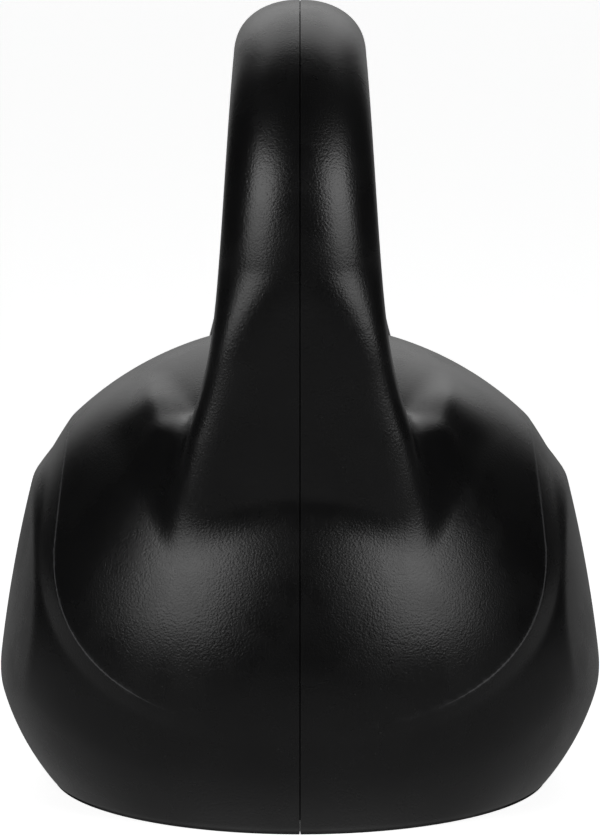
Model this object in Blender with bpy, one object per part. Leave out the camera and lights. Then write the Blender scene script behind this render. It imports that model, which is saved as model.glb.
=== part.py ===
# Kettlebell: two moulded half shells joined on a centre seam, filled with concrete
# around a bent steel bar, with a filling hole in the base closed by a plug.
# Metres, +Z up. The origin is the middle of the flat base. X runs along the grip,
# Y runs across the seam, and the front faces -Y.

import bpy
import bmesh
import numpy as np
from mathutils import Vector

# Ball, and the two shallow domes that flatten its front and rear
BALL_RADIUS = 0.0937
BALL_HEIGHT = 0.036
FLAT_CENTRE = (0.0817, 0.062)      # from the seam, above the base
FLAT_TILT = 0.187                  # leans back towards the top
FLAT_RADII = (0.140, 0.370)        # along the handle and upright
FLAT_EDGE = 0.0006

# Raised panel over the top and both ends, outlined as it is seen from an end
PANEL_HALF_WIDTH = 0.0677
PANEL_TURN_HEIGHT = 0.074          # the sides turn into the bottom curve here
PANEL_BOTTOM = 0.031
PANEL_LEAN = 0.085                 # how fast the sides draw in above the turn
PANEL_POWER = 2.35
PANEL_STEP = 0.0019                # how far the panel stands out
PANEL_STEP_REACH = 0.0049
PANEL_STEP_ROUND = (0.14, 0.12)    # shares of the reach: the raised edge, the crease below it
PANEL_STEP_BELOW = 0.45            # share of the step left at the bottom of the curve
PANEL_FADE = (0.010, 0.055)        # from the seam, where the step grows to its full depth

# Skirt that draws in from the ball to the flat base
SKIRT_HEIGHT = 0.045
SKIRT_ALONG = (0.0942, 0.0885)      # half length, and the depth where it would close
SKIRT_ACROSS = (0.0874, 0.077)     # half width, and the depth where it would close
SKIRT_POWER = (2.0, 2.3)           # roundness of its outline at the base and at its top
SKIRT_EDGE = 0.0015
BASE_EDGE = 0.0020

# Handle
TOP_HEIGHT = 0.222
GRIP_HALF_DEPTH = 0.0150           # in the plane of the arch
GRIP_HALF_WIDTH = 0.0186           # across it
GRIP_TAPER = 0.06                  # growth of the half width down the leg
SECTION_POWER = (2.15, 4.5)        # squareness at the grip and at the leg; 2 is an ellipse
SECTION_POWER_HEIGHTS = (0.154, 0.128)
ARCH_HALF_SPAN = 0.0635
ARCH_SPRING = 0.142                # the legs start to bend over here
ARCH_POWER = 2.25
ROOT_FLARE = 0.012                 # extra half width at the foot of a leg
ROOT_HEIGHT = 0.108                # half of the flare is reached here
ROOT_REACH = 0.011
LEG_END = 0.060                    # inside the ball
ROOT_FILLET = (0.003, 0.038)       # at the outside of a leg, and at its sides
ROOT_FILLET_SPAN = (0.025, 0.043)  # from the seam, where the fillet grows
ROOT_FILLET_RISE = (0.075, 0.125)  # above the base, where the fillet grows

# Cage that the form is subdivided from: distances from the middle, and heights
CAGE_X = (0.042, 0.0635, 0.082)    # the inside, the middle and the outside of a leg
CAGE_Y = (0.032, 0.066)
CAGE_Z = (0.026, 0.060, 0.098)
LEG_STATIONS = (0.112, 0.126)
ARCH_STATIONS = 5                  # from a springing to the top of the grip
SECTION_CORNERS = ((-1, -1), (0, -1), (1, -1), (1, 0), (1, 1), (0, 1), (-1, 1), (-1, 0))
OUTSIDE_LEVELS = 2
INSIDE_LEVELS = 1

# Build
WALL = 0.003
GAP = 0.0003
FILL_GAP = 0.0005                  # the concrete shrinks away from the casing
BAR_RADIUS = 0.006
HOLE_RADIUS = 0.017
PLUG_HEAD_RADIUS = 0.021
PLUG_HEAD = 0.0015
PLUG_LENGTH = 0.009
PLUG_EDGE = 0.001
ROUND_SIDES = 40
BAR_FOOT_STATIONS = (0.060, 0.100)
BAR_ARCH_STATIONS = 12

# How the meshes are fitted to the form
FIT_ROUNDS = 12
FIT_STEP = 0.008                   # the furthest a point moves in one round
SLOPE_REACH = 0.00002
LEAST_SLOPE = 0.1
HALVINGS = 30
RIM_SEARCH = (0.5, 1.2)            # shares of the skirt's width and length to look between
WELD = 0.00001
SEAT_BELOW = 0.005                 # how far the plug's cutter reaches under the base
BAR_SPACE_BELOW = 0.002


# ---- Form: each function tells how far a point is outside a surface ----

def ease(t):
    t = np.clip(t, 0, 1)
    return t * t * (3 - 2 * t)


def between(value, span):
    start, end = span
    return ease((value - start) / (end - start))


def soft_max(a, b, width):
    share = np.clip(0.5 + 0.5 * (a - b) / width, 0, 1)
    return b + (a - b) * share + width * share * (1 - share)


def soft_min(a, b, width):
    return -soft_max(-a, -b, width)


def rounded_outline(u, v, half_u, half_v, power):
    # distance outside the closed curve |u / half_u| ** power + |v / half_v| ** power = 1
    u = np.abs(u) / half_u + 1e-9
    v = np.abs(v) / half_v + 1e-9
    size = (u ** power + v ** power) ** (1 / power)
    slope_u = (u / size) ** (power - 1) / half_u
    slope_v = (v / size) ** (power - 1) / half_v
    return (size - 1) / np.hypot(slope_u, slope_v)


def panel_relief(y, z):
    below = np.maximum(PANEL_TURN_HEIGHT - z, 0)
    above = np.maximum(z - PANEL_TURN_HEIGHT, 0)
    half_width = PANEL_HALF_WIDTH - PANEL_LEAN * above
    drop = PANEL_TURN_HEIGHT - PANEL_BOTTOM
    outside = rounded_outline(y, below, half_width, drop, PANEL_POWER)
    ramp = soft_max(outside / PANEL_STEP_REACH, 0, PANEL_STEP_ROUND[0])
    step = PANEL_STEP * soft_min(ramp, 1, PANEL_STEP_ROUND[1])
    fade = between(np.abs(y), PANEL_FADE)
    share = np.where(z > PANEL_TURN_HEIGHT, 1, PANEL_STEP_BELOW + (1 - PANEL_STEP_BELOW) * fade)
    return step * share


def ball(x, y, z):
    return np.sqrt(x ** 2 + y ** 2 + (z - BALL_HEIGHT) ** 2) - BALL_RADIUS + panel_relief(y, z)


def flats(x, y, z):
    up = z - FLAT_CENTRE[1]
    dome = x ** 2 / (2 * FLAT_RADII[0]) + up ** 2 / (2 * FLAT_RADII[1])
    return (np.abs(y) - FLAT_CENTRE[0] + FLAT_TILT * up + dome) / np.hypot(1, FLAT_TILT)


def skirt(x, y, z):
    depth = np.maximum(SKIRT_HEIGHT - z, 0)
    half_length = SKIRT_ALONG[0] * np.sqrt(np.clip(1 - (depth / SKIRT_ALONG[1]) ** 2, 0.1, 1))
    half_width = SKIRT_ACROSS[0] * np.sqrt(np.clip(1 - (depth / SKIRT_ACROSS[1]) ** 2, 0.1, 1))
    power = SKIRT_POWER[1] + (SKIRT_POWER[0] - SKIRT_POWER[1]) * depth / SKIRT_HEIGHT
    return rounded_outline(x, y, half_length, half_width, power)


def handle(x, y, z):
    rise = TOP_HEIGHT - GRIP_HALF_DEPTH - ARCH_SPRING
    above = np.maximum(z - ARCH_SPRING, 0)
    off_line = rounded_outline(x, above, ARCH_HALF_SPAN, rise, ARCH_POWER)
    taper = GRIP_TAPER * np.clip(TOP_HEIGHT - GRIP_HALF_DEPTH - z, 0, 0.1)
    flare = ROOT_FLARE / (1 + np.exp((z - ROOT_HEIGHT) / ROOT_REACH))
    half_width = GRIP_HALF_WIDTH + taper + flare
    grip_power, leg_power = SECTION_POWER
    power = grip_power + (leg_power - grip_power) * between(z, SECTION_POWER_HEIGHTS)
    bar = rounded_outline(off_line, y, GRIP_HALF_DEPTH, half_width, power)
    return np.maximum(bar, LEG_END - z)


def body_sides(x, y, z):
    sides = soft_max(ball(x, y, z), flats(x, y, z), FLAT_EDGE)
    return np.where(z < SKIRT_HEIGHT, soft_max(sides, skirt(x, y, z), SKIRT_EDGE), sides)


def kettlebell(x, y, z):
    body = soft_max(body_sides(x, y, z), -z, BASE_EDGE)
    share = between(np.abs(y), ROOT_FILLET_SPAN) * between(z, ROOT_FILLET_RISE)
    fillet = ROOT_FILLET[0] + (ROOT_FILLET[1] - ROOT_FILLET[0]) * share
    return soft_min(body, handle(x, y, z), fillet)


# ---- Meshes ----

def push_to_form(points, depth):
    # moves each point along the form's slope until it lies depth below the surface
    nudge = SLOPE_REACH
    for _ in range(FIT_ROUNDS):
        x, y, z = points.T
        miss = kettlebell(x, y, z) + depth
        slope = np.stack([
            kettlebell(x + nudge, y, z) - kettlebell(x - nudge, y, z),
            kettlebell(x, y + nudge, z) - kettlebell(x, y - nudge, z),
            kettlebell(x, y, z + nudge) - kettlebell(x, y, z - nudge),
        ], axis=1) / (2 * nudge)
        steepness = np.maximum((slope ** 2).sum(axis=1), LEAST_SLOPE)
        step = (miss / steepness)[:, None] * slope
        length = np.linalg.norm(step, axis=1, keepdims=True)
        points = points - step * np.minimum(1, FIT_STEP / np.maximum(length, 1e-9))
    return points


def push_to_rim(points, depth):
    # moves points straight out to where the sides meet the base, both this far inside
    bearing = points[:, :2] / np.linalg.norm(points[:, :2], axis=1, keepdims=True)
    level = np.full(len(points), depth)
    inside = np.full(len(points), RIM_SEARCH[0] * SKIRT_ACROSS[0])
    outside = np.full(len(points), RIM_SEARCH[1] * SKIRT_ALONG[0])
    for _ in range(HALVINGS):
        reach = (inside + outside) / 2
        within = body_sides(reach * bearing[:, 0], reach * bearing[:, 1], level) < -depth
        inside = np.where(within, reach, inside)
        outside = np.where(within, outside, reach)
    return np.column_stack([inside[:, None] * bearing, level])


def cut_loop(bm, point, normal):
    everything = bm.verts[:] + bm.edges[:] + bm.faces[:]
    bmesh.ops.bisect_plane(bm, geom=everything, plane_co=point, plane_no=normal, dist=WELD)


def cage():
    # a coarse block with the handle drawn from two openings in its top
    bm = bmesh.new()
    bmesh.ops.create_cube(bm, size=1)
    bmesh.ops.scale(bm, vec=(2 * CAGE_X[-1], 2 * CAGE_Y[-1], CAGE_Z[-1]), verts=bm.verts)
    bmesh.ops.translate(bm, vec=(0, 0, CAGE_Z[-1] / 2), verts=bm.verts)
    for x in (-CAGE_X[1], -CAGE_X[0], 0, CAGE_X[0], CAGE_X[1]):
        cut_loop(bm, (x, 0, 0), (1, 0, 0))
    for y in (-CAGE_Y[0], 0, CAGE_Y[0]):
        cut_loop(bm, (0, y, 0), (0, 1, 0))
    for z in CAGE_Z[:-1]:
        cut_loop(bm, (0, 0, z), (0, 0, 1))
    for corner in bm.verts:
        if corner.co.z < CAGE_Z[-2] + 0.001:
            round_off(corner)
    rim = bm.verts.layers.float.new("rim")
    for corner in bm.verts:
        beside_base = any(abs(face.normal.z) < 0.5 for face in corner.link_faces)
        corner[rim] = float(corner.co.z < 0.001 and beside_base)
    draw_handle(bm)
    bmesh.ops.recalc_face_normals(bm, faces=bm.faces)
    mesh = bpy.data.meshes.new("cage")
    bm.to_mesh(mesh)
    bm.free()
    return mesh


def round_off(corner):
    # turns the block's rectangular plan into an oval one
    along = corner.co.x / CAGE_X[-1]
    across = corner.co.y / CAGE_Y[-1]
    corner.co.x *= np.sqrt(1 - across ** 2 / 2)
    corner.co.y *= np.sqrt(1 - along ** 2 / 2)


def vertex_at(bm, x, y, z):
    return min(bm.verts, key=lambda corner: (corner.co - Vector((x, y, z))).length)


def foot_ring(bm, side):
    # opens the block's top under one leg and returns the opening's corners
    bm.verts.remove(vertex_at(bm, side * CAGE_X[1], 0, CAGE_Z[-1]))
    ring = []
    for outward, across in SECTION_CORNERS:
        ring.append(vertex_at(bm, side * CAGE_X[1 + outward], across * CAGE_Y[0], CAGE_Z[-1]))
    return ring


def arch_point(angle):
    # centre line of the arch, from a springing (0) over the top to the other (pi)
    rise = TOP_HEIGHT - GRIP_HALF_DEPTH - ARCH_SPRING
    along = np.cos(angle)
    up = np.sin(angle)
    x = ARCH_HALF_SPAN * np.sign(along) * abs(along) ** (2 / ARCH_POWER)
    return x, ARCH_SPRING + rise * abs(up) ** (2 / ARCH_POWER)


def handle_line(foot_heights, arch_steps):
    # points of the handle's centre line from the foot at +X to the foot at -X
    line = [(ARCH_HALF_SPAN, height, 0) for height in foot_heights]
    for index in range(2 * arch_steps + 1):
        angle = np.pi * index / (2 * arch_steps)
        line.append((*arch_point(angle), angle))
    line += [(-ARCH_HALF_SPAN, height, np.pi) for height in reversed(foot_heights)]
    return line


def draw_handle(bm):
    rings = [foot_ring(bm, 1)]
    for x, z, angle in handle_line(LEG_STATIONS, ARCH_STATIONS):
        ring = []
        for outward, across in SECTION_CORNERS:
            reach = outward * GRIP_HALF_DEPTH
            spot = (x + reach * np.cos(angle), across * GRIP_HALF_WIDTH, z + reach * np.sin(angle))
            ring.append(bm.verts.new(spot))
        rings.append(ring)
    rings.append(foot_ring(bm, -1))
    for lower, upper in zip(rings, rings[1:]):
        for index in range(len(SECTION_CORNERS)):
            following = (index + 1) % len(SECTION_CORNERS)
            bm.faces.new((lower[index], lower[following], upper[following], upper[index]))


def evaluated_mesh(shape):
    bpy.context.view_layer.update()
    depsgraph = bpy.context.evaluated_depsgraph_get()
    return bpy.data.meshes.new_from_object(shape.evaluated_get(depsgraph))


def settle(mesh, depth):
    points = np.empty(3 * len(mesh.vertices))
    rim = np.empty(len(mesh.vertices))
    mesh.vertices.foreach_get("co", points)
    mesh.attributes["rim"].data.foreach_get("value", rim)
    points = push_to_form(points.reshape(-1, 3), depth)
    on_rim = rim > 0.99
    points[on_rim] = push_to_rim(points[on_rim], depth)
    mesh.vertices.foreach_set("co", points.ravel())


def triangulate(mesh):
    bm = bmesh.new()
    bm.from_mesh(mesh)
    bmesh.ops.triangulate(bm, faces=bm.faces, quad_method="FIXED")
    bm.to_mesh(mesh)
    bm.free()


def form_mesh(levels, depth):
    # the whole outline, this far below the outer surface, as one closed mesh
    mesh = cage()
    for _ in range(levels):
        shape = add_object("form", mesh)
        finer = shape.modifiers.new("Subdivision", "SUBSURF")
        finer.levels = 1
        finer.render_levels = 1
        mesh = evaluated_mesh(shape)
        bpy.data.objects.remove(shape)
        settle(mesh, depth)
    if depth:
        triangulate(mesh)          # so that the concrete's faces run along the casing's
    return mesh


def add_object(name, mesh):
    shape = bpy.data.objects.new(name, mesh)
    bpy.context.collection.objects.link(shape)
    return shape


def finish(shape, material, sharp_degrees=35):
    shape.data.materials.clear()
    shape.data.materials.append(material)
    shape.data.shade_smooth()
    shape.data.set_sharp_from_angle(angle=np.radians(sharp_degrees))


def principled(name, colour, roughness, metallic=0.0):
    material = bpy.data.materials.new(name)
    material.use_nodes = True
    shader = material.node_tree.nodes["Principled BSDF"]
    shader.inputs["Base Color"].default_value = (*colour, 1)
    shader.inputs["Roughness"].default_value = roughness
    shader.inputs["Metallic"].default_value = metallic
    material.diffuse_color = (*colour, 1)
    return material


def turned(name, profile):
    # a solid of revolution about Z from (radius, height) points that start and end on the axis
    bm = bmesh.new()
    corners = [bm.verts.new((radius, 0, height)) for radius, height in profile]
    line = [bm.edges.new(pair) for pair in zip(corners, corners[1:])]
    bmesh.ops.spin(bm, geom=corners + line, cent=(0, 0, 0), axis=(0, 0, 1),
                   angle=2 * np.pi, steps=ROUND_SIDES, use_merge=True)
    bmesh.ops.remove_doubles(bm, verts=bm.verts, dist=WELD)
    bmesh.ops.recalc_face_normals(bm, faces=bm.faces)
    mesh = bpy.data.meshes.new(name)
    bm.to_mesh(mesh)
    bm.free()
    return add_object(name, mesh)


def as_cutter(shape):
    shape.hide_render = True
    shape.display_type = "WIRE"
    return shape


def cut(shape, cutter):
    boolean = shape.modifiers.new("Cut", "BOOLEAN")
    boolean.operation = "DIFFERENCE"
    boolean.object = cutter


def bent_bar(name, radius, foot_height):
    curve = bpy.data.curves.new(name, "CURVE")
    curve.dimensions = "3D"
    curve.bevel_depth = radius
    curve.bevel_resolution = 2
    curve.use_fill_caps = True
    line = handle_line((foot_height, *BAR_FOOT_STATIONS), BAR_ARCH_STATIONS)
    spline = curve.splines.new("POLY")
    spline.points.add(len(line) - 1)
    for point, (x, z, _) in zip(spline.points, line):
        point.co = (x, 0, z, 1)
    return add_object(name, curve)


def as_mesh(shape):
    # the same object with its curve turned into a welded mesh
    bm = bmesh.new()
    bm.from_mesh(evaluated_mesh(shape))
    bmesh.ops.remove_doubles(bm, verts=bm.verts, dist=WELD)
    bmesh.ops.recalc_face_normals(bm, faces=bm.faces)
    name = shape.name
    bpy.data.objects.remove(shape)
    mesh = bpy.data.meshes.new(name)
    bm.to_mesh(mesh)
    bm.free()
    return add_object(name, mesh)


def boundary_loops(bm):
    # connected rings of open edges, lowest first
    loose = {edge for edge in bm.edges if edge.is_boundary}
    rings = []
    while loose:
        ring = []
        waiting = [loose.pop()]
        while waiting:
            edge = waiting.pop()
            ring.append(edge)
            for corner in edge.verts:
                for neighbour in corner.link_edges:
                    if neighbour in loose:
                        loose.remove(neighbour)
                        waiting.append(neighbour)
        rings.append(ring)
    rings.sort(key=lambda ring: min(corner.co.z for edge in ring for corner in edge.verts))
    return rings


def half_shell(name, side, seat):
    # one half of the casing: outer skin, inner skin and the rim that meets the other half
    bm = bmesh.new()
    for levels, depth in ((OUTSIDE_LEVELS, 0), (INSIDE_LEVELS, WALL)):
        skin = bmesh.new()
        skin.from_mesh(form_mesh(levels, depth))
        other_half = [face for face in skin.faces if side * face.calc_center_median().y < 0]
        bmesh.ops.delete(skin, geom=other_half, context="FACES")
        if depth:
            bmesh.ops.reverse_faces(skin, faces=skin.faces)
        for corner in skin.verts:
            if corner.is_boundary:
                corner.co.y = side * GAP / 2
        mesh = bpy.data.meshes.new(name)
        skin.to_mesh(mesh)
        skin.free()
        bm.from_mesh(mesh)
    for corner in bm.verts:
        if abs(corner.co.z) < 0.00005:
            corner.co.z = 0
    around_outside, around_inside, window_outside, window_inside = boundary_loops(bm)
    bmesh.ops.bridge_loops(bm, edges=around_outside + around_inside)
    bmesh.ops.bridge_loops(bm, edges=window_outside + window_inside)
    bmesh.ops.recalc_face_normals(bm, faces=bm.faces)
    mesh = bpy.data.meshes.new(name)
    bm.to_mesh(mesh)
    bm.free()
    shell = add_object(name, mesh)
    cut(shell, seat)
    return shell


def filler_plug(name):
    shank = HOLE_RADIUS - GAP
    return turned(name, [
        (0, GAP),
        (PLUG_HEAD_RADIUS, GAP),
        (PLUG_HEAD_RADIUS, PLUG_HEAD),
        (shank, PLUG_HEAD),
        (shank, PLUG_LENGTH - PLUG_EDGE),
        (shank - PLUG_EDGE, PLUG_LENGTH),
        (0, PLUG_LENGTH),
    ])


def plug_seat(name):
    below = -SEAT_BELOW
    above = PLUG_LENGTH + GAP
    return as_cutter(turned(name, [
        (0, below),
        (PLUG_HEAD_RADIUS + GAP, below),
        (PLUG_HEAD_RADIUS + GAP, PLUG_HEAD + GAP),
        (HOLE_RADIUS, PLUG_HEAD + GAP),
        (HOLE_RADIUS, above),
        (0, above),
    ]))


def concrete_fill(name, seat, bar_space):
    mesh = form_mesh(INSIDE_LEVELS, WALL)
    bm = bmesh.new()
    bm.from_mesh(mesh)
    bm.normal_update()
    inward = [-FILL_GAP * corner.calc_shell_factor() * corner.normal for corner in bm.verts]
    for corner, step in zip(bm.verts, inward):
        corner.co += step
    bm.to_mesh(mesh)
    bm.free()
    fill = add_object(name, mesh)
    cut(fill, seat)
    cut(fill, bar_space)
    return fill


def main():
    for old in list(bpy.data.objects):
        bpy.data.objects.remove(old)
    casing = principled("black_polyethylene", (0.012, 0.012, 0.013), 0.42)
    rubber = principled("plug_rubber", (0.018, 0.018, 0.018), 0.7)
    steel = principled("bar_steel", (0.32, 0.31, 0.30), 0.5, 1.0)
    concrete = principled("concrete", (0.42, 0.41, 0.39), 0.95)

    seat = plug_seat("plug_seat_cutter")
    bar_space = as_cutter(as_mesh(bent_bar("bar_space_cutter", BAR_RADIUS + GAP, -BAR_SPACE_BELOW)))

    finish(half_shell("front_shell", -1, seat), casing)
    finish(half_shell("rear_shell", 1, seat), casing)
    finish(concrete_fill("concrete_fill", seat, bar_space), concrete)
    finish(filler_plug("filler_plug"), rubber)
    bar = bent_bar("handle_bar", BAR_RADIUS, WALL + 2 * GAP)
    bar.data.materials.append(steel)


main()
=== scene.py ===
# Kettlebell: black moulded casing in two halves around concrete and a steel bar.
# Metres, +Z up. The grip runs along X and the seam between the halves lies at Y = 0.
import bpy
import bmesh
import numpy as np
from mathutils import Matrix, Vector


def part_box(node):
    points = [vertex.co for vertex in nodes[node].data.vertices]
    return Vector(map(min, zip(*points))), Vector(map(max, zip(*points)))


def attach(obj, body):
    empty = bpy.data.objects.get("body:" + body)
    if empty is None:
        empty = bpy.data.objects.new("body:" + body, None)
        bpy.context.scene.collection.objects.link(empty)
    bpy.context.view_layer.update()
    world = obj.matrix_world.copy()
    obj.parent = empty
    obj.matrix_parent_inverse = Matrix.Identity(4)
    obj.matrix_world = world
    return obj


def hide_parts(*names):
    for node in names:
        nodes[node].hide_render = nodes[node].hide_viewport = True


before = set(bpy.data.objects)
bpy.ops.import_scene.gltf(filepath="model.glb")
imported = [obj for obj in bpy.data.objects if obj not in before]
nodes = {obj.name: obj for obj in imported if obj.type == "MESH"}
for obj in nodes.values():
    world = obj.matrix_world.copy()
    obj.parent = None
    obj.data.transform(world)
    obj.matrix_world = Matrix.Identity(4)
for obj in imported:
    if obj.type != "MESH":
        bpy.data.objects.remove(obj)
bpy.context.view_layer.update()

# The driving sizes come from the parts in model.glb.
casingLow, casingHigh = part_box("rear_shell")
plugLow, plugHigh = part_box("filler_plug")
fullHeight = casingHigh[2]
seamGap = 2 * casingLow[1]
plugRadius = plugHigh[0]

# The shape: each function tells how far a point lies outside a surface.
body = {
    "ballRadius": 0.0937,
    "ballHeight": 0.036,
    "flatOut": 0.0817,           # the flattened faces, from the seam
    "flatHeight": 0.062,
    "flatLean": 0.187,
    "flatRadii": (0.140, 0.370), # how gently they dome, along and upright
    "flatEdge": 0.0006,
}
panel = {
    "halfWidth": 0.0677,         # raised panel, outlined as seen from an end
    "turnHeight": 0.074,
    "bottom": 0.031,
    "lean": 0.085,
    "power": 2.35,
    "step": 0.0019,
    "stepReach": 0.0049,
    "edgeRound": 0.14,           # shares of the reach: the raised edge, and the crease below it
    "creaseRound": 0.12,
    "shareBelow": 0.45,
    "fadeStart": 0.010,
    "fadeReach": 0.045,
}
skirt = {
    "height": 0.045,
    "along": (0.0942, 0.0885),
    "across": (0.0874, 0.077),
    "power": (2.0, 2.3),
    "edge": 0.0015,
    "baseEdge": 0.0020,
}
handle = {
    "halfDepth": 0.0150,
    "halfWidth": 0.0186,
    "taper": 0.06,
    "power": (2.15, 4.5),        # roundness of the section, at the grip and at the root
    "powerHeights": (0.154, 0.128),
    "halfSpan": 0.0635,
    "spring": 0.142,
    "archPower": 2.25,
    "flare": 0.012,
    "flareHeight": 0.108,
    "flareReach": 0.011,
    "footHeight": 0.060,
    "fillet": (0.003, 0.038),    # at the front of a leg, and at its sides
    "filletSpan": (0.025, 0.043),
    "filletRise": (0.075, 0.125),
}


def ease(t):
    t = np.clip(t, 0, 1)
    return t * t * (3 - 2 * t)


def softMax(a, b, width):
    share = np.clip(0.5 + 0.5 * (a - b) / width, 0, 1)
    return b + (a - b) * share + width * share * (1 - share)


def softMin(a, b, width):
    return -softMax(-a, -b, width)


def roundedOutline(u, v, halfU, halfV, power):
    # distance outside a rounded oval
    u = np.abs(u) / halfU + 1e-9
    v = np.abs(v) / halfV + 1e-9
    size = (u ** power + v ** power) ** (1 / power)
    slopeU = (u / size) ** (power - 1) / halfU
    slopeV = (v / size) ** (power - 1) / halfV
    return (size - 1) / np.hypot(slopeU, slopeV)


def panelOutside(y, z):
    below = np.maximum(panel["turnHeight"] - z, 0)
    above = np.maximum(z - panel["turnHeight"], 0)
    halfWidth = panel["halfWidth"] - panel["lean"] * above
    drop = panel["turnHeight"] - panel["bottom"]
    return roundedOutline(y, below, halfWidth, drop, panel["power"])


def panelRelief(y, z):
    outside = panelOutside(y, z)
    ramp = softMax(outside / panel["stepReach"], 0, panel["edgeRound"])
    step = panel["step"] * softMin(ramp, 1, panel["creaseRound"])
    fade = ease((np.abs(y) - panel["fadeStart"]) / panel["fadeReach"])
    share = panel["shareBelow"] + (1 - panel["shareBelow"]) * fade
    return step * np.where(z > panel["turnHeight"], 1, share)


def ballShape(x, y, z):
    away = np.sqrt(x ** 2 + y ** 2 + (z - body["ballHeight"]) ** 2)
    return away - body["ballRadius"] + panelRelief(y, z)


def flatFaces(x, y, z):
    up = z - body["flatHeight"]
    dome = x ** 2 / (2 * body["flatRadii"][0]) + up ** 2 / (2 * body["flatRadii"][1])
    lean = body["flatLean"]
    return (np.abs(y) - body["flatOut"] + lean * up + dome) / np.hypot(1, lean)


def skirtShape(x, y, z):
    depth = np.maximum(skirt["height"] - z, 0)
    halves = []
    for reach, close in (skirt["along"], skirt["across"]):
        halves.append(reach * np.sqrt(np.clip(1 - (depth / close) ** 2, 0.1, 1)))
    atBase, atTop = skirt["power"]
    power = atTop + (atBase - atTop) * depth / skirt["height"]
    return roundedOutline(x, y, halves[0], halves[1], power)


def handleShape(x, y, z):
    gripHeight = fullHeight - handle["halfDepth"]
    above = np.maximum(z - handle["spring"], 0)
    offLine = roundedOutline(x, above, handle["halfSpan"], gripHeight - handle["spring"],
                             handle["archPower"])
    taper = handle["taper"] * np.clip(gripHeight - z, 0, 0.1)
    flare = handle["flare"] / (1 + np.exp((z - handle["flareHeight"]) / handle["flareReach"]))
    halfWidth = handle["halfWidth"] + taper + flare
    gripPower, rootPower = handle["power"]
    start, end = handle["powerHeights"]
    power = gripPower + (rootPower - gripPower) * ease((start - z) / (start - end))
    bar = roundedOutline(offLine, y, handle["halfDepth"], halfWidth, power)
    return np.maximum(bar, handle["footHeight"] - z)


def bodySides(x, y, z):
    sides = softMax(ballShape(x, y, z), flatFaces(x, y, z), body["flatEdge"])
    low = softMax(sides, skirtShape(x, y, z), skirt["edge"])
    return np.where(z < skirt["height"], low, sides)


def kettlebellShape(x, y, z):
    whole = softMax(bodySides(x, y, z), -z, skirt["baseEdge"])
    start, end = handle["filletSpan"]
    beside = ease((np.abs(y) - start) / (end - start))
    low, high = handle["filletRise"]
    risen = ease((z - low) / (high - low))
    tight, wide = handle["fillet"]
    return softMin(whole, handleShape(x, y, z), tight + (wide - tight) * beside * risen)


# The casing is one smooth mesh, drawn from a coarse cage and fitted to the shape.
casing = {
    "levels": 5,
    "insideLevels": 3,
    "wall": 0.003,
    "seamDepth": 0.0006,         # the seam is a narrow groove, all but closed at its bottom
    "seamTouch": 0.00001,
    "cageX": (0.042, 0.0635, 0.082),
    "cageY": (0.032, 0.066),
    "cageZ": (0.026, 0.060, 0.098),
    "legStations": (0.112, 0.126),
    "archStations": 5,
    "sharpAngle": 38,
}
fitting = {
    "nudge": 0.00002,            # how far apart a slope is measured
    "leastSlope": 0.1,
    "longestStep": 0.008,
    "coarseLevels": 3,
    "rounds": (12, 5),           # on the coarse levels, and on the finer ones
    "rimSearch": (0.5, 1.2),     # shares of the skirt's width and length to look between
    "halvings": 30,
    "flush": 0.00005,            # a corner this close to the ground is put on it
    "weld": 0.00001,
}
sectionCorners = ((-1, -1), (0, -1), (1, -1), (1, 0), (1, 1), (0, 1), (-1, 1), (-1, 0))


def formSlope(points):
    x, y, z = points.T
    nudge = fitting["nudge"]
    return np.stack([
        kettlebellShape(x + nudge, y, z) - kettlebellShape(x - nudge, y, z),
        kettlebellShape(x, y + nudge, z) - kettlebellShape(x, y - nudge, z),
        kettlebellShape(x, y, z + nudge) - kettlebellShape(x, y, z - nudge),
    ], axis=1) / (2 * nudge)


def pushToForm(points, depth, rounds):
    # each point slides along the shape's slope until it lies this deep
    for _ in range(rounds):
        slope = formSlope(points)
        miss = kettlebellShape(*points.T) + depth
        steepness = np.maximum((slope ** 2).sum(axis=1), fitting["leastSlope"])
        step = (miss / steepness)[:, None] * slope
        length = np.linalg.norm(step, axis=1, keepdims=True)
        points = points - step * np.minimum(1, fitting["longestStep"] / np.maximum(length, 1e-9))
    return points


def pushToRim(points, depth):
    # straight out to where the sides meet the base
    bearing = points[:, :2] / np.linalg.norm(points[:, :2], axis=1, keepdims=True)
    level = np.full(len(points), depth)
    nearest, furthest = fitting["rimSearch"]
    inside = np.full(len(points), nearest * skirt["across"][0])
    outside = np.full(len(points), furthest * skirt["along"][0])
    for _ in range(fitting["halvings"]):
        reach = (inside + outside) / 2
        within = bodySides(reach * bearing[:, 0], reach * bearing[:, 1], level) < -depth
        inside = np.where(within, reach, inside)
        outside = np.where(within, outside, reach)
    return np.column_stack([inside[:, None] * bearing, level])


def readPoints(mesh):
    flat = np.empty(3 * len(mesh.vertices))
    mesh.vertices.foreach_get("co", flat)
    return flat.reshape(-1, 3)


def cutLoop(bm, point, normal):
    everything = bm.verts[:] + bm.edges[:] + bm.faces[:]
    bmesh.ops.bisect_plane(bm, geom=everything, plane_co=point, plane_no=normal, dist=fitting["weld"])


def cornerNear(bm, x, y, z):
    return min(bm.verts, key=lambda corner: (corner.co - Vector((x, y, z))).length)


def roundOff(corner, halfX, halfY):
    along = corner.co.x / halfX
    across = corner.co.y / halfY
    corner.co.x *= np.sqrt(1 - across ** 2 / 2)
    corner.co.y *= np.sqrt(1 - along ** 2 / 2)


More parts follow.
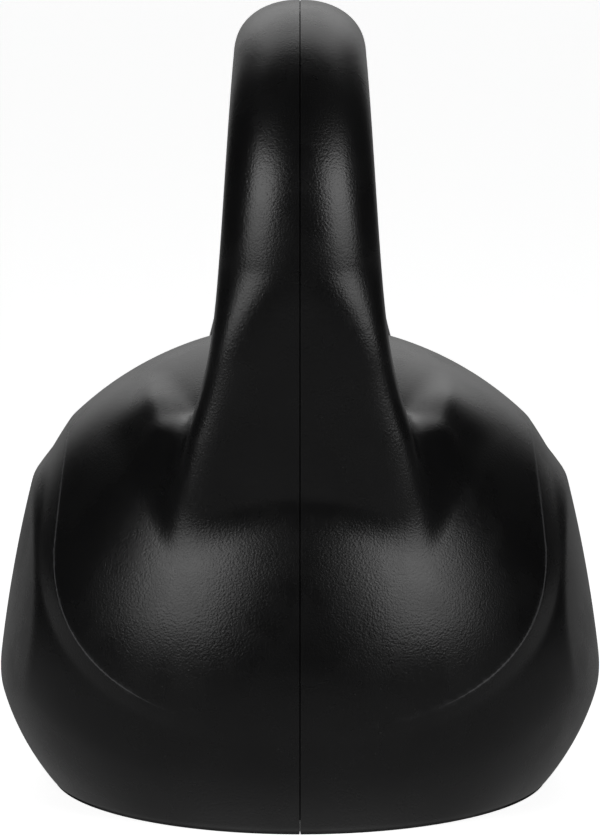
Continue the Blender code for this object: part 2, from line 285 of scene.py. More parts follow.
def coarseCage():
    cageX, cageY, cageZ = casing["cageX"], casing["cageY"], casing["cageZ"]
    bm = bmesh.new()
    bmesh.ops.create_cube(bm, size=1)
    bmesh.ops.scale(bm, vec=(2 * cageX[-1], 2 * cageY[-1], cageZ[-1]), verts=bm.verts)
    bmesh.ops.translate(bm, vec=(0, 0, cageZ[-1] / 2), verts=bm.verts)
    for x in (-cageX[1], -cageX[0], 0, cageX[0], cageX[1]):
        cutLoop(bm, (x, 0, 0), (1, 0, 0))
    for y in (-cageY[0], 0, cageY[0]):
        cutLoop(bm, (0, y, 0), (0, 1, 0))
    for z in cageZ[:-1]:
        cutLoop(bm, (0, 0, z), (0, 0, 1))
    for corner in bm.verts:
        if corner.co.z < cageZ[-2] + 0.001:
            roundOff(corner, cageX[-1], cageY[-1])
    rim = bm.verts.layers.float.new("rim")
    for corner in bm.verts:
        besideBase = any(abs(face.normal.z) < 0.5 for face in corner.link_faces)
        corner[rim] = float(corner.co.z < 0.001 and besideBase)
    drawHandle(bm)
    bmesh.ops.recalc_face_normals(bm, faces=bm.faces)
    mesh = bpy.data.meshes.new("coarseCage")
    bm.to_mesh(mesh)
    bm.free()
    return mesh


def footRing(bm, side):
    # opens the cage's top under one leg
    cageX, cageY, top = casing["cageX"], casing["cageY"], casing["cageZ"][-1]
    bm.verts.remove(cornerNear(bm, side * cageX[1], 0, top))
    ring = []
    for outward, across in sectionCorners:
        ring.append(cornerNear(bm, side * cageX[1 + outward], across * cageY[0], top))
    return ring


def handleLine():
    # (x, height, angle) from one foot over the arch to the other
    rise = fullHeight - handle["halfDepth"] - handle["spring"]
    span, power, steps = handle["halfSpan"], handle["archPower"], 2 * casing["archStations"]
    line = [(span, height, 0) for height in casing["legStations"]]
    for index in range(steps + 1):
        angle = np.pi * index / steps
        along = np.cos(angle)
        x = span * np.sign(along) * abs(along) ** (2 / power)
        line.append((x, handle["spring"] + rise * abs(np.sin(angle)) ** (2 / power), angle))
    line += [(-span, height, np.pi) for height in reversed(casing["legStations"])]
    return line


def drawHandle(bm):
    rings = [footRing(bm, 1)]
    for x, z, angle in handleLine():
        ring = []
        for outward, across in sectionCorners:
            reach = outward * handle["halfDepth"]
            spot = (x + reach * np.cos(angle), across * handle["halfWidth"], z + reach * np.sin(angle))
            ring.append(bm.verts.new(spot))
        rings.append(ring)
    rings.append(footRing(bm, -1))
    for lower, upper in zip(rings, rings[1:]):
        for index in range(len(sectionCorners)):
            following = (index + 1) % len(sectionCorners)
            bm.faces.new((lower[index], lower[following], upper[following], upper[index]))


def newObject(name, mesh):
    piece = bpy.data.objects.new(name, mesh)
    bpy.context.collection.objects.link(piece)
    return piece


def frozenMesh(piece):
    # the piece's mesh with its modifiers applied
    bpy.context.view_layer.update()
    depsgraph = bpy.context.evaluated_depsgraph_get()
    mesh = bpy.data.meshes.new_from_object(piece.evaluated_get(depsgraph))
    bpy.data.objects.remove(piece)
    return mesh


def formSkins(levels, depth):
    # every level of the shape from coarse to fine, this deep under the surface
    mesh = coarseCage()
    coarseRounds, fineRounds = fitting["rounds"]
    for level in range(levels):
        piece = newObject("form", mesh)
        finer = piece.modifiers.new("Subdivision", "SUBSURF")
        finer.levels = 1
        finer.render_levels = 1
        mesh = frozenMesh(piece)
        points = readPoints(mesh)
        rim = np.empty(len(mesh.vertices))
        mesh.attributes["rim"].data.foreach_get("value", rim)
        rounds = coarseRounds if level < fitting["coarseLevels"] else fineRounds
        points = pushToForm(points, depth, rounds)
        points[rim > 0.99] = pushToRim(points[rim > 0.99], depth)
        mesh.vertices.foreach_set("co", points.ravel())
    return mesh


crease = {
    "reach": 0.00002,
    "rounds": 6,
    "leastSlope": 0.02,
    "longestStep": 0.0006,
    "settleRounds": 2,
    "ballTop": 0.125,
    "legHalfWidth": 0.030,       # the crease under a leg is drawn only this near the seam
    "legHeights": (0.070, 0.100),
}


def panelEdge(x, y, z):
    return panelOutside(y, z)


def panelCrease(x, y, z):
    return panelOutside(y, z) - panel["stepReach"]


def flatRim(x, y, z):
    return ballShape(x, y, z) - flatFaces(x, y, z)


def legCrease(x, y, z):
    return bodySides(x, y, z) - handleShape(x, y, z)


def drawLine(mesh, line, wanted):
    # slides the nearest points onto a crisp line of the shape and runs edges along it
    points = readPoints(mesh)
    ends = np.empty(2 * len(mesh.edges), dtype=int)
    mesh.edges.foreach_get("vertices", ends)
    first, second = ends.reshape(-1, 2).T
    away = line(*points.T)
    crossing = (away[first] * away[second] < 0) & wanted(points[first])
    nearer = np.where(np.abs(away[first]) < np.abs(away[second]), first, second)[crossing]
    chosen = np.unique(nearer)
    moved = points[chosen]
    reach = crease["reach"]
    for _ in range(crease["rounds"]):
        slope = np.stack([
            line(*(moved + step).T) - line(*(moved - step).T) for step in reach * np.eye(3)
        ], axis=1) / (2 * reach)
        outward = formSlope(moved)
        outward /= np.linalg.norm(outward, axis=1, keepdims=True)
        slope -= (slope * outward).sum(axis=1, keepdims=True) * outward
        steepness = np.maximum((slope ** 2).sum(axis=1), crease["leastSlope"])
        shift = (line(*moved.T) / steepness)[:, None] * slope
        length = np.linalg.norm(shift, axis=1, keepdims=True)
        moved = moved - shift * np.minimum(1, crease["longestStep"] / np.maximum(length, 1e-9))
        moved = pushToForm(moved, 0, crease["settleRounds"])
    points[chosen] = moved
    mesh.vertices.foreach_set("co", points.ravel())
    onLine = set(chosen.tolist())
    bm = bmesh.new()
    bm.from_mesh(mesh)
    for face in bm.faces[:]:
        corners = face.verts[:]
        if len(corners) != 4:
            continue
        held = [corner.index in onLine for corner in corners]
        if held == [True, False, True, False]:
            bmesh.utils.face_split(face, corners[0], corners[2])
        elif held == [False, True, False, True]:
            bmesh.utils.face_split(face, corners[1], corners[3])
    bm.to_mesh(mesh)
    bm.free()


def onBall(points):
    return points[:, 2] < crease["ballTop"]


def besideLeg(points):
    low, high = crease["legHeights"]
    height = points[:, 2]
    return (np.abs(points[:, 1]) < crease["legHalfWidth"]) & (height < high) & (height > low)


def halfSkin(whole, side, inside):
    # keeps one side of the seam and puts the open edge at the seam's gap
    skin = bmesh.new()
    skin.from_mesh(whole)
    otherHalf = [face for face in skin.faces if side * face.calc_center_median().y < 0]
    bmesh.ops.delete(skin, geom=otherHalf, context="FACES")
    edgeY = side * casing["seamTouch"]
    if inside:
        bmesh.ops.reverse_faces(skin, faces=skin.faces)
    else:
        cutLoop(skin, (0, side * seamGap / 2, 0), (0, 1, 0))
    edge = [corner for corner in skin.verts if corner.is_boundary]
    if not inside:
        points = np.array([corner.co for corner in edge])
        points = pushToForm(points, casing["seamDepth"], 3)
        for corner, point in zip(edge, points):
            corner.co = point
    for corner in edge:
        corner.co.y = edgeY
    for corner in skin.verts:
        if abs(corner.co.z) < fitting["flush"]:
            corner.co.z = 0
    mesh = bpy.data.meshes.new("skin")
    skin.to_mesh(mesh)
    skin.free()
    return mesh


def openRings(bm):
    # connected rings of open edges, lowest first
    loose = {edge for edge in bm.edges if edge.is_boundary}
    rings = []
    while loose:
        ring = []
        waiting = [loose.pop()]
        while waiting:
            edge = waiting.pop()
            ring.append(edge)
            for corner in edge.verts:
                for neighbour in corner.link_edges:
                    if neighbour in loose:
                        loose.remove(neighbour)
                        waiting.append(neighbour)
        rings.append(ring)
    rings.sort(key=lambda ring: min(corner.co.z for edge in ring for corner in edge.verts))
    return rings


wearAndHighlight = {
    "reach": 0.0006,
    "bends": (60, 480),          # where a rounded edge starts to rub, and where it is fully rubbed
    "rubbedShare": 0.6,
    # nearPanel, clearOfLeg and lineWidth place the painted highlight line along the panel's edge
    "nearPanel": 0.0006,
    "clearOfLeg": 0.001,
    "lineWidth": 0.0004,
}


def markWearAndHighlight(mesh):
    # how tightly the surface bends outwards, for wear on the raised edges, and a painted highlight: a thin
    # light line along the raised panel's edge
    points = readPoints(mesh)
    reach = wearAndHighlight["reach"]
    middle = kettlebellShape(*points.T)
    bend = -6 * middle
    for axis in range(3):
        for sign in (-1, 1):
            moved = points.copy()
            moved[:, axis] += sign * reach
            bend = bend + kettlebellShape(*moved.T)
    bend = bend / reach ** 2
    start, full = wearAndHighlight["bends"]
    rounded = wearAndHighlight["rubbedShare"] * ease((bend - start) / (full - start))
    x, y, z = points.T
    clearOfLeg = handleShape(x, y, z) > wearAndHighlight["clearOfLeg"]
    # painted highlight: a thin light line along the raised panel's edge, kept off the legs and faded where
    # it runs near the seam
    onPanel = (np.abs(ballShape(x, y, z)) < wearAndHighlight["nearPanel"]) & clearOfLeg
    onPanel = onPanel * ease((np.abs(y) - panel["fadeStart"]) / panel["fadeReach"])
    line = np.exp(-(panelOutside(y, z) / wearAndHighlight["lineWidth"]) ** 2) * onPanel
    attribute = mesh.attributes.new("edge", "FLOAT", "POINT")
    attribute.data.foreach_set("value", np.maximum(rounded, line).astype(np.float32))


def turned(name, profile, steps):
    bm = bmesh.new()
    corners = [bm.verts.new((radius, 0, height)) for radius, height in profile]
    line = [bm.edges.new(pair) for pair in zip(corners, corners[1:])]
    bmesh.ops.spin(bm, geom=corners + line, cent=(0, 0, 0), axis=(0, 0, 1),
                   angle=2 * np.pi, steps=steps, use_merge=True)
    bmesh.ops.remove_doubles(bm, verts=bm.verts, dist=fitting["weld"])
    bmesh.ops.recalc_face_normals(bm, faces=bm.faces)
    mesh = bpy.data.meshes.new(name)
    bm.to_mesh(mesh)
    bm.free()
    return newObject(name, mesh)


# The filler plug and its seat in the base.
plug = {
    "holeRadius": 0.017,
    "head": 0.0015,
    "clear": 0.0003,
    "edge": 0.0005,
    "dishRadius": 0.0135,
    "dishDepth": 0.0005,
    "dishSlope": 0.001,
    "shankEdge": 0.001,
    "seatBelow": -0.005,
    "seatTop": 0.0093,
    "cornerPoints": 6,
    "sharpAngle": 50,
    "steps": 96,
}


def roundedCorner(radius, height, size, startTurn):
    # a quarter circle of profile points; startTurn 0 turns from flat to upright
    centre = (radius - size, height + size) if startTurn == 0 else (radius - size, height - size)
    count = plug["cornerPoints"]
    angles = np.linspace(-np.pi / 2, 0, count) if startTurn == 0 else np.linspace(0, np.pi / 2, count)
    return [(centre[0] + size * np.cos(a), centre[1] + size * np.sin(a)) for a in angles]


def makePlug():
    bottom, top = plugLow[2], plugHigh[2]
    shank = plug["holeRadius"] - plug["clear"]
    dish = plug["dishRadius"]
    profile = [(0, bottom + plug["dishDepth"]), (dish - plug["dishSlope"], bottom + plug["dishDepth"])]
    profile += [(dish, bottom)]
    profile += roundedCorner(plugRadius, bottom, plug["edge"], 0)
    profile += [(plugRadius, plug["head"]), (shank, plug["head"])]
    profile += roundedCorner(shank, top, plug["shankEdge"], 1)
    profile += [(0, top)]
    return turned("base_plug", profile, plug["steps"])


def makePlugSeat():
    head = plug["head"] + plug["clear"]
    outer = plugRadius + plug["clear"]
    inner = plug["holeRadius"]
    below, top = plug["seatBelow"], plug["seatTop"]
    profile = [(0, below), (outer, below), (outer, head), (inner, head), (inner, top), (0, top)]
    return turned("plugSeat", profile, plug["steps"])


def halfCasing(name, side, outside, inside, seat):
    bm = bmesh.new()
    bm.from_mesh(halfSkin(outside, side, False))
    bm.from_mesh(halfSkin(inside, side, True))
    aroundOutside, aroundInside, windowOutside, windowInside = openRings(bm)
    bmesh.ops.bridge_loops(bm, edges=aroundOutside + aroundInside)
    bmesh.ops.bridge_loops(bm, edges=windowOutside + windowInside)
    bmesh.ops.recalc_face_normals(bm, faces=bm.faces)
    mesh = bpy.data.meshes.new(name)
    bm.to_mesh(mesh)
    bm.free()
    piece = newObject("uncut", mesh)
    boolean = piece.modifiers.new("Seat", "BOOLEAN")
    boolean.operation = "DIFFERENCE"
    boolean.object = seat
    mesh = frozenMesh(piece)
    mesh.name = name
    markWearAndHighlight(mesh)
    mesh.shade_smooth()
    mesh.set_sharp_from_angle(angle=np.radians(casing["sharpAngle"]))
    return newObject(name, mesh)


outsideSkin = formSkins(casing["levels"], 0)
for line, wanted in ((panelEdge, onBall), (panelCrease, onBall), (flatRim, onBall), (legCrease, besideLeg)):
    drawLine(outsideSkin, line, wanted)
insideSkin = formSkins(casing["insideLevels"], casing["wall"])
print("skins drawn")
seat = makePlugSeat()
frontHalf = halfCasing("front_casing", -1, outsideSkin, insideSkin, seat)
rearHalf = halfCasing("rear_casing", 1, outsideSkin, insideSkin, seat)
bpy.data.objects.remove(seat)
print("casing halves made")
basePlug = makePlug()
basePlug.data.shade_smooth()
basePlug.data.set_sharp_from_angle(angle=np.radians(plug["sharpAngle"]))
print("plug made")


def newGroup(name, inputs, outputs):
    group = bpy.data.node_groups.new(name, "ShaderNodeTree")
    for label, kind, value in inputs:
        socket = group.interface.new_socket(name=label, in_out="INPUT", socket_type=kind)
        if value is not None:
            socket.default_value = value
    for label, kind in outputs:
        group.interface.new_socket(name=label, in_out="OUTPUT", socket_type=kind)
    return group, group.nodes.new("NodeGroupInput"), group.nodes.new("NodeGroupOutput")


def mathNode(tree, operation, first, second=None, clamp=False):
    node = tree.nodes.new("ShaderNodeMath")
    node.operation = operation
    node.use_clamp = clamp
    for index, value in enumerate((first, second)):
        if value is None:
            continue
        if isinstance(value, (int, float)):
            node.inputs[index].default_value = value
        else:
            tree.links.new(value, node.inputs[index])
    return node.outputs[0]


def noiseNode(tree, vector, scale, detail=3.0, roughness=0.5):
    node = tree.nodes.new("ShaderNodeTexNoise")
    tree.links.new(vector, node.inputs["Vector"])
    if isinstance(scale, (int, float)):
        node.inputs["Scale"].default_value = scale
    else:
        tree.links.new(scale, node.inputs["Scale"])
    node.inputs["Detail"].default_value = detail
    node.inputs["Roughness"].default_value = roughness
    return node.outputs["Fac"]


def rangeNode(tree, value, low, high, outLow=0.0, outHigh=1.0):
    node = tree.nodes.new("ShaderNodeMapRange")
    node.interpolation_type = "SMOOTHSTEP"
    tree.links.new(value, node.inputs["Value"])
    for label, number in (("From Min", low), ("From Max", high), ("To Min", outLow), ("To Max", outHigh)):
        node.inputs[label].default_value = number
    return node.outputs["Result"]


grain = {
    "bend": 0.0007,
    "smoothness": 0.6,
    "pebbleShare": 0.55,
    "fineShare": 0.6,
    "patchScale": 45.0,
}


def makeGrainGroup():
    # moulded leathery grain: rounded pebbles a fraction of a millimetre across
    group, start, end = newGroup(
        "mouldedGrain",
        [("Vector", "NodeSocketVector", None), ("Pebbles Per Metre", "NodeSocketFloat", 1300.0)],
        [("Height", "NodeSocketFloat"), ("Softness", "NodeSocketFloat")])
    vector, scale = start.outputs["Vector"], start.outputs["Pebbles Per Metre"]
    half = mathNode(group, "MULTIPLY", scale, 0.5)
    warp = noiseNode(group, vector, half, 2.0)
    bend = mathNode(group, "MULTIPLY", warp, grain["bend"])
    moved = group.nodes.new("ShaderNodeVectorMath")
    moved.operation = "ADD"
    group.links.new(vector, moved.inputs[0])
    group.links.new(bend, moved.inputs[1])
    cells = group.nodes.new("ShaderNodeTexVoronoi")
    cells.feature = "SMOOTH_F1"
    cells.inputs["Smoothness"].default_value = grain["smoothness"]
    group.links.new(moved.outputs[0], cells.inputs["Vector"])
    group.links.new(scale, cells.inputs["Scale"])
    pebble = mathNode(group, "SUBTRACT", 1.0, cells.outputs["Distance"])
    fine = noiseNode(group, moved.outputs[0], scale, 3.0, 0.6)
    mixed = mathNode(group, "ADD", mathNode(group, "MULTIPLY", pebble, grain["pebbleShare"]),
                     mathNode(group, "MULTIPLY", fine, grain["fineShare"]))
    group.links.new(mixed, end.inputs["Height"])
    patch = rangeNode(group, noiseNode(group, vector, grain["patchScale"], 4.0, 0.6), 0.35, 0.7)
    group.links.new(patch, end.inputs["Softness"])
    return group


handling = {
    "blotchScale": 160.0,
    "streakScale": 900.0,
    "streakStretch": (1.0, 1.0, 0.12),
    "streakTurn": (0.35, 0.6, 0.2),
    "streakShare": 0.35,
    "dustScale": 1500.0,
    "dustPatchScale": 22.0,
    "cloudScale": 30.0,
}


def makeHandlingGroup():
    # dust, scuffs and rubbed edges from use
    group, start, end = newGroup(
        "handlingMarks",
        [("Vector", "NodeSocketVector", None), ("Edge", "NodeSocketFloat", 0.0),
         ("Scuffs", "NodeSocketFloat", 0.5)],
        [("Rubbed", "NodeSocketFloat"), ("Dust", "NodeSocketFloat"), ("Clouds", "NodeSocketFloat")])
    vector = start.outputs["Vector"]
    blotch = noiseNode(group, vector, handling["blotchScale"], 4.0, 0.65)
    broken = rangeNode(group, blotch, 0.38, 0.68)
    onEdge = mathNode(group, "MULTIPLY", start.outputs["Edge"], broken)
    stretched = group.nodes.new("ShaderNodeMapping")
    stretched.inputs["Scale"].default_value = handling["streakStretch"]
    stretched.inputs["Rotation"].default_value = handling["streakTurn"]
    group.links.new(vector, stretched.inputs["Vector"])
    streak = noiseNode(group, stretched.outputs[0], handling["streakScale"], 2.0)
    streak = rangeNode(group, streak, 0.70, 0.80)
    streak = mathNode(group, "MULTIPLY", streak, start.outputs["Scuffs"])
    streak = mathNode(group, "MULTIPLY", streak, handling["streakShare"])
    rubbed = mathNode(group, "MAXIMUM", onEdge, streak)
    group.links.new(rubbed, end.inputs["Rubbed"])
    speck = rangeNode(group, noiseNode(group, vector, handling["dustScale"], 2.0), 0.68, 0.78)
    where = rangeNode(group, noiseNode(group, vector, handling["dustPatchScale"], 3.0), 0.4, 0.7)
    group.links.new(mathNode(group, "MULTIPLY", speck, where), end.inputs["Dust"])
    clouds = rangeNode(group, noiseNode(group, vector, handling["cloudScale"], 5.0, 0.6), 0.3, 0.7)
    group.links.new(clouds, end.inputs["Clouds"])
    return group


grainGroup = makeGrainGroup()
handlingGroup = makeHandlingGroup()


def startMaterial(name):
    material = bpy.data.materials.new(name)
    material.use_nodes = True
    tree = material.node_tree
    place = tree.nodes.new("ShaderNodeTexCoord").outputs["Object"]
    return material, tree, tree.nodes["Principled BSDF"], place


def useGroup(tree, group, vector):
    node = tree.nodes.new("ShaderNodeGroup")
    node.node_tree = group
    tree.links.new(vector, node.inputs["Vector"])
    return node


def mixColour(tree, share, first, second):
    node = tree.nodes.new("ShaderNodeMix")
    node.data_type = "RGBA"
    tree.links.new(share, node.inputs["Factor"])
    for socket, value in ((node.inputs["A"], first), (node.inputs["B"], second)):
        if isinstance(value, tuple):
            socket.default_value = (*value, 1)
        else:
            tree.links.new(value, socket)
    return node.outputs["Result"]


def addBump(tree, shader, height, strength, distance):
    node = tree.nodes.new("ShaderNodeBump")
    node.inputs["Strength"].default_value = strength
    node.inputs["Distance"].default_value = distance
    tree.links.new(height, node.inputs["Height"])
    tree.links.new(node.outputs["Normal"], shader.inputs["Normal"])


plastic = {
    "colour": (0.0020, 0.0020, 0.0021),
    "faded": (0.0034, 0.0034, 0.0036),
    "rubbed": (0.022, 0.022, 0.023),
    # painted highlight: the light colour of the thin line along the raised panel's edge
    "paintedPanelHighlight": (0.060, 0.060, 0.062),
    "roughness": (0.25, 0.31),
    "dust": (0.09, 0.09, 0.085),
    "scuffs": 0.35,
    "rubbedShare": 0.5,
    "dustShare": 0.25,
    "lineFrom": 0.62,
    "lineTo": 0.95,
    "lineShare": 0.75,
    "rubbedRoughness": 0.12,
    "pebbles": 1700.0,
    "grainDepth": 0.000065,
}


def makePlasticFinish():
    material, tree, shader, place = startMaterial("satinBlackPlastic")
    texture = useGroup(tree, grainGroup, place)
    texture.inputs["Pebbles Per Metre"].default_value = plastic["pebbles"]
    marks = useGroup(tree, handlingGroup, place)
    marks.inputs["Scuffs"].default_value = plastic["scuffs"]
    # the edge attribute holds rubbed wear on tight bends and the painted highlight line along the panel's
    # edge, so the rubbed colour also lands on that painted line
    edge = tree.nodes.new("ShaderNodeAttribute")
    edge.attribute_name = "edge"
    tree.links.new(edge.outputs["Fac"], marks.inputs["Edge"])
    colour = mixColour(tree, marks.outputs["Clouds"], plastic["colour"], plastic["faded"])
    wornAndHighlight = mathNode(tree, "MULTIPLY", marks.outputs["Rubbed"], plastic["rubbedShare"])
    colour = mixColour(tree, wornAndHighlight, colour, plastic["rubbed"])
    dusty = mathNode(tree, "MULTIPLY", marks.outputs["Dust"], plastic["dustShare"])
    colour = mixColour(tree, dusty, colour, plastic["dust"])
    # painted highlight: a light line along the raised panel's edge
    line = rangeNode(tree, edge.outputs["Fac"], plastic["lineFrom"], plastic["lineTo"], 0.0,
                     plastic["lineShare"])
    colour = mixColour(tree, line, colour, plastic["paintedPanelHighlight"])
    tree.links.new(colour, shader.inputs["Base Color"])
    low, high = plastic["roughness"]
    rough = rangeNode(tree, texture.outputs["Softness"], 0.0, 1.0, low, high)
    rough = mathNode(tree, "ADD", rough, mathNode(tree, "MULTIPLY", wornAndHighlight, plastic["rubbedRoughness"]))
    tree.links.new(rough, shader.inputs["Roughness"])
    addBump(tree, shader, texture.outputs["Height"], 1.0, plastic["grainDepth"])
    return material


rubber = {
    "colour": (0.012, 0.012, 0.012),
    "faded": (0.022, 0.021, 0.020),
    "dust": (0.12, 0.115, 0.105),
    "scuffs": 0.9,
    "pebbles": 2600.0,
    "roughness": (0.6, 0.8),
    "grainStrength": 0.8,
    "grainDepth": 0.00004,
}


def makeRubberFinish():
    material, tree, shader, place = startMaterial("plugRubber")
    texture = useGroup(tree, grainGroup, place)
    texture.inputs["Pebbles Per Metre"].default_value = rubber["pebbles"]
    marks = useGroup(tree, handlingGroup, place)
    marks.inputs["Scuffs"].default_value = rubber["scuffs"]
    colour = mixColour(tree, marks.outputs["Clouds"], rubber["colour"], rubber["faded"])
    colour = mixColour(tree, marks.outputs["Dust"], colour, rubber["dust"])
    tree.links.new(colour, shader.inputs["Base Color"])
    rough = rangeNode(tree, texture.outputs["Softness"], 0.0, 1.0, *rubber["roughness"])
    tree.links.new(rough, shader.inputs["Roughness"])
    addBump(tree, shader, texture.outputs["Height"], rubber["grainStrength"], rubber["grainDepth"])
    return material


concrete = {
    "colour": (0.33, 0.32, 0.30),
    "pale": (0.46, 0.45, 0.43),
    "sand": (0.28, 0.26, 0.23),
    "stone": (0.20, 0.19, 0.18),
    "hole": (0.08, 0.078, 0.074),
    "sandScale": 1400.0,
    "stoneScale": 140.0,
    "holeScale": 420.0,
    "stoneShare": 0.5,
    "holeDepth": 1.5,            # against the height of a sand grain
    "roughness": (0.82, 0.98),
    "depth": 0.0003,
}


def makeConcreteFinish():
    # pale cement with sand and darker stones, and air holes pressed in by the bump with painted shade in
    # them
    material, tree, shader, place = startMaterial("castConcrete")
    marks = useGroup(tree, handlingGroup, place)
    sand = noiseNode(tree, place, concrete["sandScale"], 4.0, 0.7)
    cells = tree.nodes.new("ShaderNodeTexVoronoi")
    cells.inputs["Scale"].default_value = concrete["stoneScale"]
    tree.links.new(place, cells.inputs["Vector"])
    stones = rangeNode(tree, cells.outputs["Distance"], 0.30, 0.36, 1.0, 0.0)
    holes = rangeNode(tree, noiseNode(tree, place, concrete["holeScale"], 2.0), 0.66, 0.72)
    colour = mixColour(tree, marks.outputs["Clouds"], concrete["colour"], concrete["pale"])
    colour = mixColour(tree, rangeNode(tree, sand, 0.4, 0.7), colour, concrete["sand"])
    stones = mathNode(tree, "MULTIPLY", stones, concrete["stoneShare"])
    colour = mixColour(tree, stones, colour, concrete["stone"])
    # painted shade: the air holes are painted dark
    colour = mixColour(tree, holes, colour, concrete["hole"])
    tree.links.new(colour, shader.inputs["Base Color"])
    tree.links.new(rangeNode(tree, sand, 0.2, 0.8, *concrete["roughness"]), shader.inputs["Roughness"])
    height = mathNode(tree, "SUBTRACT", sand, mathNode(tree, "MULTIPLY", holes, concrete["holeDepth"]))
    addBump(tree, shader, height, 1.0, concrete["depth"])
    return material


steel = {
    "bright": (0.36, 0.35, 0.34),
    "scale": (0.16, 0.155, 0.15),
    "rubbed": (0.55, 0.54, 0.53),
    "rust": (0.19, 0.075, 0.030),
    "scuffs": 1.0,
    "scaleScale": 260.0,
    "rustScale": 520.0,
    "roughness": (0.38, 0.62),
    "rustMetal": 0.1,
    "strength": 0.6,
    "depth": 0.00008,
}


def makeSteelFinish():
    # rolled bar with dark scale and specks of rust
    material, tree, shader, place = startMaterial("rolledSteel")
    marks = useGroup(tree, handlingGroup, place)
    marks.inputs["Scuffs"].default_value = steel["scuffs"]
    scale = rangeNode(tree, noiseNode(tree, place, steel["scaleScale"], 5.0, 0.65), 0.4, 0.62)
    rust = rangeNode(tree, noiseNode(tree, place, steel["rustScale"], 4.0), 0.58, 0.70)
    colour = mixColour(tree, scale, steel["bright"], steel["scale"])
    colour = mixColour(tree, marks.outputs["Rubbed"], colour, steel["rubbed"])
    colour = mixColour(tree, rust, colour, steel["rust"])
    tree.links.new(colour, shader.inputs["Base Color"])
    tree.links.new(rangeNode(tree, scale, 0.0, 1.0, *steel["roughness"]), shader.inputs["Roughness"])
    tree.links.new(rangeNode(tree, rust, 0.0, 1.0, 1.0, steel["rustMetal"]), shader.inputs["Metallic"])
    addBump(tree, shader, mathNode(tree, "ADD", scale, rust), steel["strength"], steel["depth"])
    return material


def dress(piece, material):
    piece.data.materials.clear()
    piece.data.materials.append(material)


plasticFinish = makePlasticFinish()
dress(frontHalf, plasticFinish)
dress(rearHalf, plasticFinish)
dress(basePlug, makeRubberFinish())
for name, finish in (("concrete_fill", makeConcreteFinish()), ("handle_bar", makeSteelFinish())):
    for holder in nodes[name].material_slots:
        holder.material = finish
print("finishes made")

for piece, node, slotName in ((frontHalf, "front_shell", "casing"), (rearHalf, "rear_shell", "casing"),
                              (basePlug, "filler_plug", "plug")):
    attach(piece, "root")
    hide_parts(node)


studio = {
    "aim": (0, 0, 0.1031),
    "eye": (1.300, 0, 0.280),
    "lens": 198,
    "floorSize": 30,
    "floorColour": (0.90, 0.90, 0.90),
    "floorGlow": 0.80,
    "floorRoughness": 0.9,
    "floorShine": 0.1,
    "floorSteps": 96,
    "sensorWidth": 36,
}


def makeFloor():
    bm = bmesh.new()
    bmesh.ops.create_circle(bm, cap_ends=True, radius=studio["floorSize"] / 2,
                            segments=studio["floorSteps"])
    mesh = bpy.data.meshes.new("floor")
    bm.to_mesh(mesh)
    bm.free()
    floor = newObject("floor", mesh)
    material, _, shader, _ = startMaterial("paleFloor")
    shader.inputs["Base Color"].default_value = (*studio["floorColour"], 1)
    shader.inputs["Roughness"].default_value = studio["floorRoughness"]
    shader.inputs["Specular IOR Level"].default_value = studio["floorShine"]
    shader.inputs["Emission Color"].default_value = (1, 1, 1, 1)
    shader.inputs["Emission Strength"].default_value = studio["floorGlow"]
    dress(floor, material)
    floor.visible_glossy = False


# Soft boxes on both sides of the eye: elevation, height and how bright the box itself is.
softBoxes = {
    "azimuth": 45,
    "distance": 1.1,
    "width": 0.60,
    "boxes": (("BoxUpper", 36, 0.35, 3.4), ("BoxLower", 18, 0.35, 2.2)),
}


def softLight(name, azimuth, elevation, height, brightness):
    width = softBoxes["width"]
    turn, lift = np.radians(azimuth), np.radians(elevation)
    outward = Vector((np.cos(lift) * np.cos(turn), np.cos(lift) * np.sin(turn), np.sin(lift)))
    light = bpy.data.lights.new(name, "AREA")
    light.shape = "RECTANGLE"
    light.size = width
    light.size_y = height
    light.energy = brightness * np.pi * width * height
    lamp = bpy.data.objects.new(name, light)
    lamp.location = Vector(studio["aim"]) + outward * softBoxes["distance"]
    lamp.rotation_euler = outward.to_track_quat("Z", "Y").to_euler()
    lamp.visible_camera = False
    bpy.context.collection.objects.link(lamp)


# What the casing mirrors: a pale ceiling behind the kettlebell and a grey floor around it.
surroundings = {
    "ceilingFront": (-0.36, -0.52),
    "ceilingSides": (0.60, 0.30),
    "ceilingRise": (0.0, 0.6),
    "ceilingBrightness": (0.3, 1.1),
    "elsewhere": 0.02,
    "horizon": (0.0, -0.08),
    "floorHeights": (-0.80, -0.98),
    "floorBrightness": (0.19, 0.45),
    "backdrop": 1.0,
}


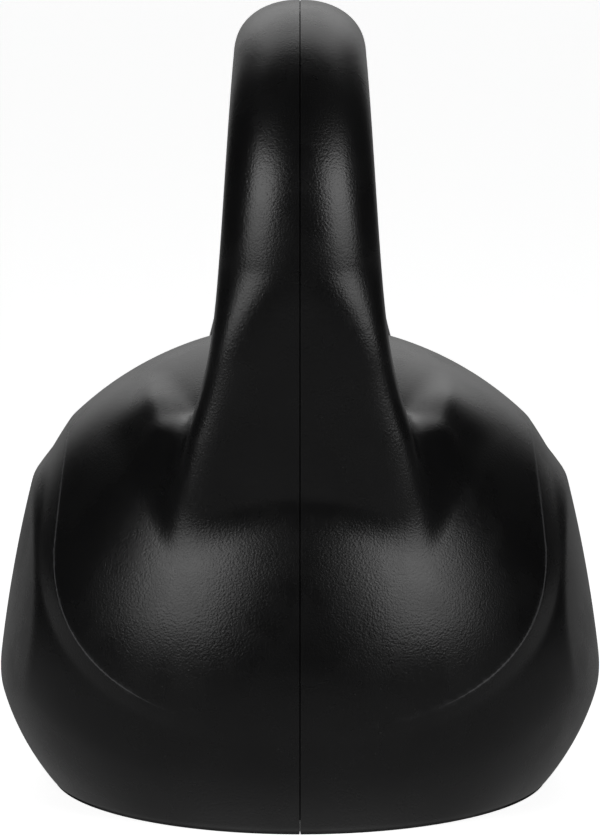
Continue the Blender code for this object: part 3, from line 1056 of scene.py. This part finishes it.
def makeWorld():
    world = bpy.data.worlds.new("studio")
    bpy.context.scene.world = world
    world.use_nodes = True
    tree = world.node_tree
    direction = tree.nodes.new("ShaderNodeTexCoord").outputs["Generated"]
    split = tree.nodes.new("ShaderNodeSeparateXYZ")
    tree.links.new(direction, split.inputs[0])
    front, up = split.outputs["X"], split.outputs["Z"]
    sideways = mathNode(tree, "ABSOLUTE", split.outputs["Y"])
    ceiling = rangeNode(tree, front, *surroundings["ceilingFront"])
    ceiling = mathNode(tree, "MULTIPLY", ceiling, rangeNode(tree, sideways, *surroundings["ceilingSides"]))
    risen = rangeNode(tree, up, *surroundings["ceilingRise"], *surroundings["ceilingBrightness"])
    ceiling = mathNode(tree, "MULTIPLY", ceiling, risen)
    high = mathNode(tree, "ADD", ceiling, surroundings["elsewhere"])
    low = rangeNode(tree, up, *surroundings["floorHeights"], *surroundings["floorBrightness"])
    isLow = rangeNode(tree, up, *surroundings["horizon"])
    mixed = tree.nodes.new("ShaderNodeMix")
    tree.links.new(isLow, mixed.inputs["Factor"])
    tree.links.new(high, mixed.inputs["A"])
    tree.links.new(low, mixed.inputs["B"])
    seen = tree.nodes.new("ShaderNodeLightPath").outputs["Is Camera Ray"]
    final = tree.nodes.new("ShaderNodeMix")
    final.inputs["B"].default_value = surroundings["backdrop"]
    tree.links.new(seen, final.inputs["Factor"])
    tree.links.new(mixed.outputs["Result"], final.inputs["A"])
    tree.links.new(final.outputs["Result"], tree.nodes["Background"].inputs["Strength"])
    tree.nodes["Background"].inputs["Color"].default_value = (1, 1, 1, 1)


def makeCamera():
    camera = bpy.data.cameras.new("camera")
    camera.lens = studio["lens"]
    camera.sensor_width = studio["sensorWidth"]
    eye = bpy.data.objects.new("camera", camera)
    eye.location = studio["eye"]
    look = Vector(studio["aim"]) - Vector(studio["eye"])
    eye.rotation_euler = look.to_track_quat("-Z", "Y").to_euler()
    bpy.context.collection.objects.link(eye)
    bpy.context.scene.camera = eye


makeFloor()
makeWorld()
for side, label in ((-1, "left"), (1, "right")):
    for box, elevation, height, brightness in softBoxes["boxes"]:
        softLight(label + box, side * softBoxes["azimuth"], elevation, height, brightness)
makeCamera()
bpy.context.scene.view_settings.view_transform = "Standard"
print("studio ready")
